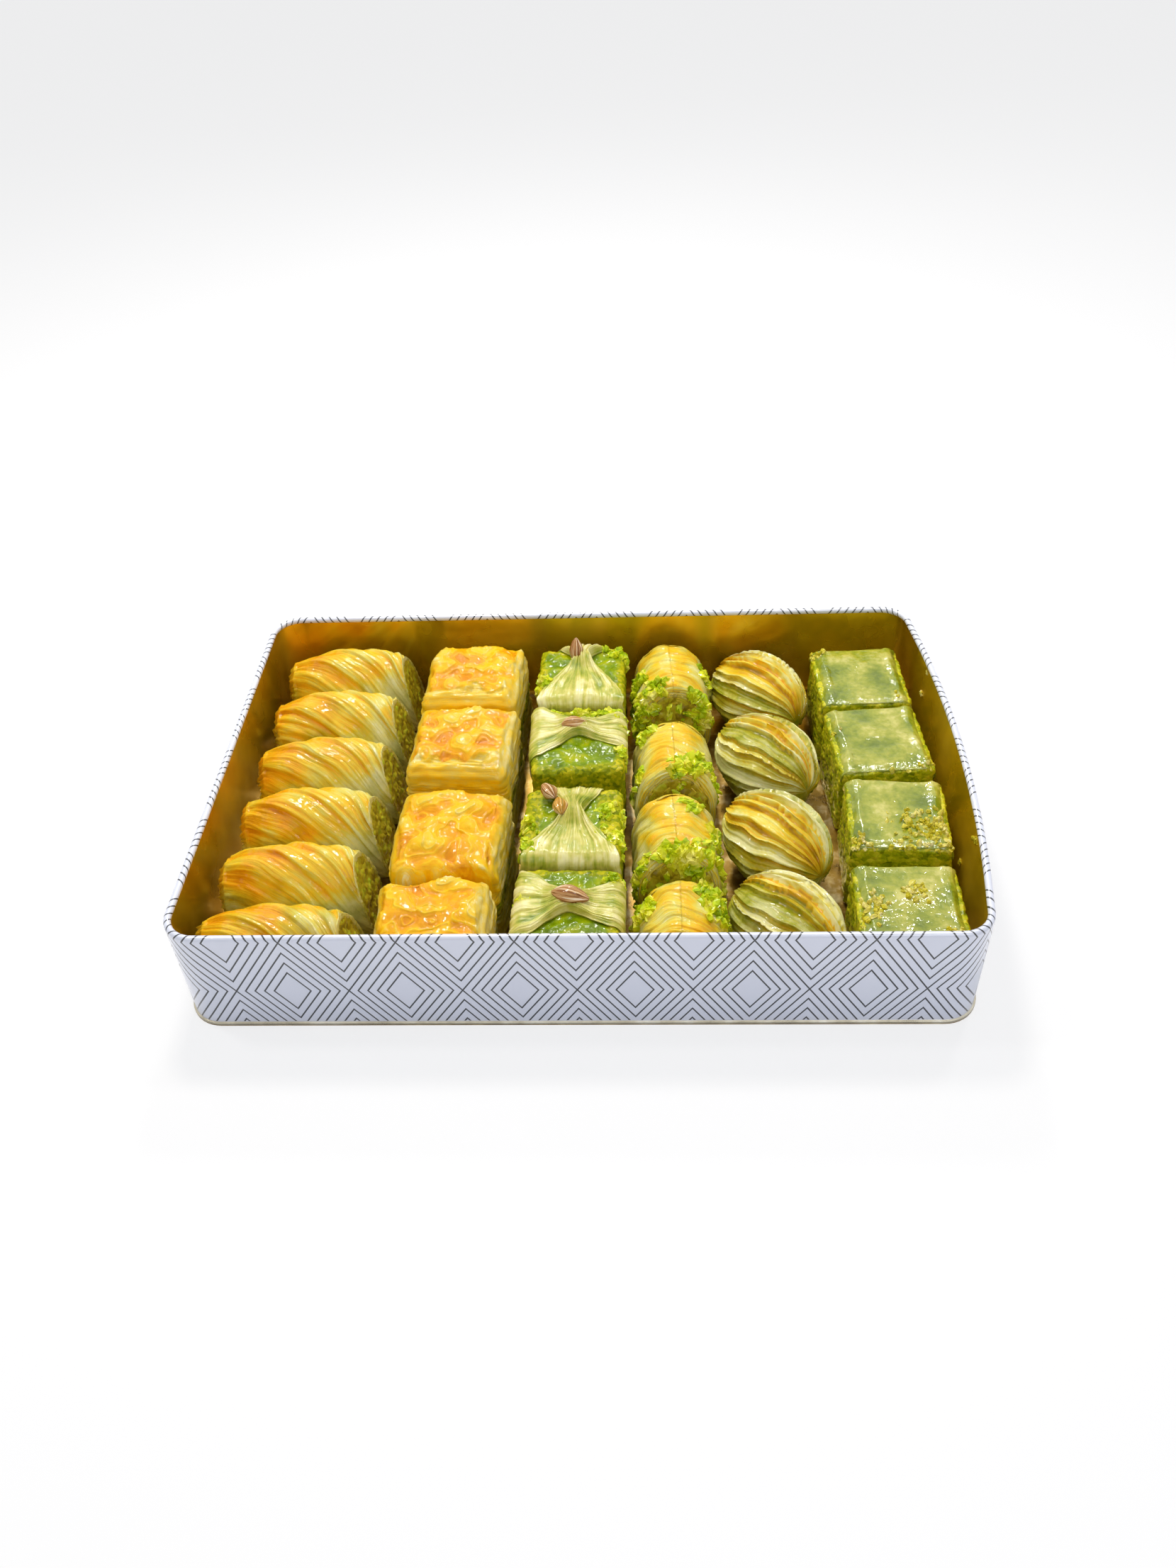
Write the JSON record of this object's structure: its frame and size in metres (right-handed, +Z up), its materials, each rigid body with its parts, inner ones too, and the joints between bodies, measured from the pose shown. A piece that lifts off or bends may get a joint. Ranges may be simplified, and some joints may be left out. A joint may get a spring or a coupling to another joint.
{
  "type": "baklava tin",
  "caption": "Open rectangular tinplate tin with a rolled rim and a printed diamond pattern, filled with six columns of assorted baklava that lift out one by one",
  "frame": {"origin": "middle of the flat underside of the tin's base panel, on the surface it stands on", "axes": "+X along the tin's long side, towards the column of green squares; +Y away from the side that faces the eater; +Z up out of the tin's open top"},
  "size_m": [0.3122, 0.2086, 0.05],
  "materials": {
    "tinplate": "white enamel printed with fine dark grey diamonds outside, gold lacquer inside",
    "golden_pastry": null,
    "pale_sheet": null,
    "pistachio_paste": null,
    "chopped_nuts": null,
    "kernel": "shelled pistachio with its reddish brown skin"
  },
  "bodies": {
    "tin": {"tin_wall": "tinplate", "tin_base": "tinplate"},
    "roll_1": {"roll_1_pastry": "golden_pastry", "roll_1_filling": "chopped_nuts"},
    "roll_2": {"roll_2_pastry": "golden_pastry", "roll_2_filling": "chopped_nuts"},
    "roll_3": {"roll_3_pastry": "golden_pastry", "roll_3_filling": "chopped_nuts"},
    "roll_4": {"roll_4_pastry": "golden_pastry", "roll_4_filling": "chopped_nuts"},
    "roll_5": {"roll_5_pastry": "golden_pastry", "roll_5_filling": "chopped_nuts"},
    "roll_6": {"roll_6_pastry": "golden_pastry", "roll_6_filling": "chopped_nuts"},
    "layered_1": {"layered_1_leaves": "golden_pastry", "layered_1_filling": "chopped_nuts"},
    "layered_2": {"layered_2_leaves": "golden_pastry", "layered_2_filling": "chopped_nuts"},
    "layered_3": {"layered_3_leaves": "golden_pastry", "layered_3_filling": "chopped_nuts"},
    "layered_4": {"layered_4_leaves": "golden_pastry", "layered_4_filling": "chopped_nuts"},
    "bundle_1": {"bundle_1_paste": "pistachio_paste", "bundle_1_wrap": "pale_sheet", "bundle_1_kernels": "kernel"},
    "bundle_2": {"bundle_2_paste": "pistachio_paste", "bundle_2_wrap": "pale_sheet", "bundle_2_kernels": "kernel"},
    "bundle_3": {"bundle_3_paste": "pistachio_paste", "bundle_3_wrap": "pale_sheet", "bundle_3_kernels": "kernel"},
    "bundle_4": {"bundle_4_paste": "pistachio_paste", "bundle_4_wrap": "pale_sheet", "bundle_4_kernels": "kernel"},
    "crumbed_1": {"crumbed_1_pastry": "golden_pastry", "crumbed_1_filling": "chopped_nuts"},
    "crumbed_2": {"crumbed_2_pastry": "golden_pastry", "crumbed_2_filling": "chopped_nuts"},
    "crumbed_3": {"crumbed_3_pastry": "golden_pastry", "crumbed_3_filling": "chopped_nuts"},
    "crumbed_4": {"crumbed_4_pastry": "golden_pastry", "crumbed_4_filling": "chopped_nuts"},
    "shell_1": {"shell_1_pastry": "golden_pastry", "shell_1_filling": "chopped_nuts"},
    "shell_2": {"shell_2_pastry": "golden_pastry", "shell_2_filling": "chopped_nuts"},
    "shell_3": {"shell_3_pastry": "golden_pastry", "shell_3_filling": "chopped_nuts"},
    "shell_4": {"shell_4_pastry": "golden_pastry", "shell_4_filling": "chopped_nuts"},
    "square_1": {"square_1_paste": "pistachio_paste", "square_1_skins": "pale_sheet"},
    "square_2": {"square_2_paste": "pistachio_paste", "square_2_skins": "pale_sheet"},
    "square_3": {"square_3_paste": "pistachio_paste", "square_3_skins": "pale_sheet"},
    "square_4": {"square_4_paste": "pistachio_paste", "square_4_skins": "pale_sheet"}
  },
  "joints": [
    {"name": "roll_1_lift", "type": "slide", "parent": "tin", "child": "roll_1", "axis": [0, 0, 1], "range_m": [0, 0.06]},
    {"name": "roll_2_lift", "type": "slide", "parent": "tin", "child": "roll_2", "axis": [0, 0, 1], "range_m": [0, 0.06]},
    {"name": "roll_3_lift", "type": "slide", "parent": "tin", "child": "roll_3", "axis": [0, 0, 1], "range_m": [0, 0.06]},
    {"name": "roll_4_lift", "type": "slide", "parent": "tin", "child": "roll_4", "axis": [0, 0, 1], "range_m": [0, 0.06]},
    {"name": "roll_5_lift", "type": "slide", "parent": "tin", "child": "roll_5", "axis": [0, 0, 1], "range_m": [0, 0.06]},
    {"name": "roll_6_lift", "type": "slide", "parent": "tin", "child": "roll_6", "axis": [0, 0, 1], "range_m": [0, 0.06]},
    {"name": "layered_1_lift", "type": "slide", "parent": "tin", "child": "layered_1", "axis": [0, 0, 1], "range_m": [0, 0.06]},
    {"name": "layered_2_lift", "type": "slide", "parent": "tin", "child": "layered_2", "axis": [0, 0, 1], "range_m": [0, 0.06]},
    {"name": "layered_3_lift", "type": "slide", "parent": "tin", "child": "layered_3", "axis": [0, 0, 1], "range_m": [0, 0.06]},
    {"name": "layered_4_lift", "type": "slide", "parent": "tin", "child": "layered_4", "axis": [0, 0, 1], "range_m": [0, 0.06]},
    {"name": "bundle_1_lift", "type": "slide", "parent": "tin", "child": "bundle_1", "axis": [0, 0, 1], "range_m": [0, 0.06]},
    {"name": "bundle_2_lift", "type": "slide", "parent": "tin", "child": "bundle_2", "axis": [0, 0, 1], "range_m": [0, 0.06]},
    {"name": "bundle_3_lift", "type": "slide", "parent": "tin", "child": "bundle_3", "axis": [0, 0, 1], "range_m": [0, 0.06]},
    {"name": "bundle_4_lift", "type": "slide", "parent": "tin", "child": "bundle_4", "axis": [0, 0, 1], "range_m": [0, 0.06]},
    {"name": "crumbed_1_lift", "type": "slide", "parent": "tin", "child": "crumbed_1", "axis": [0, 0, 1], "range_m": [0, 0.06]},
    {"name": "crumbed_2_lift", "type": "slide", "parent": "tin", "child": "crumbed_2", "axis": [0, 0, 1], "range_m": [0, 0.06]},
    {"name": "crumbed_3_lift", "type": "slide", "parent": "tin", "child": "crumbed_3", "axis": [0, 0, 1], "range_m": [0, 0.06]},
    {"name": "crumbed_4_lift", "type": "slide", "parent": "tin", "child": "crumbed_4", "axis": [0, 0, 1], "range_m": [0, 0.06]},
    {"name": "shell_1_lift", "type": "slide", "parent": "tin", "child": "shell_1", "axis": [0, 0, 1], "range_m": [0, 0.06]},
    {"name": "shell_2_lift", "type": "slide", "parent": "tin", "child": "shell_2", "axis": [0, 0, 1], "range_m": [0, 0.06]},
    {"name": "shell_3_lift", "type": "slide", "parent": "tin", "child": "shell_3", "axis": [0, 0, 1], "range_m": [0, 0.06]},
    {"name": "shell_4_lift", "type": "slide", "parent": "tin", "child": "shell_4", "axis": [0, 0, 1], "range_m": [0, 0.06]},
    {"name": "square_1_lift", "type": "slide", "parent": "tin", "child": "square_1", "axis": [0, 0, 1], "range_m": [0, 0.06]},
    {"name": "square_2_lift", "type": "slide", "parent": "tin", "child": "square_2", "axis": [0, 0, 1], "range_m": [0, 0.06]},
    {"name": "square_3_lift", "type": "slide", "parent": "tin", "child": "square_3", "axis": [0, 0, 1], "range_m": [0, 0.06]},
    {"name": "square_4_lift", "type": "slide", "parent": "tin", "child": "square_4", "axis": [0, 0, 1], "range_m": [0, 0.06]}
  ]
}
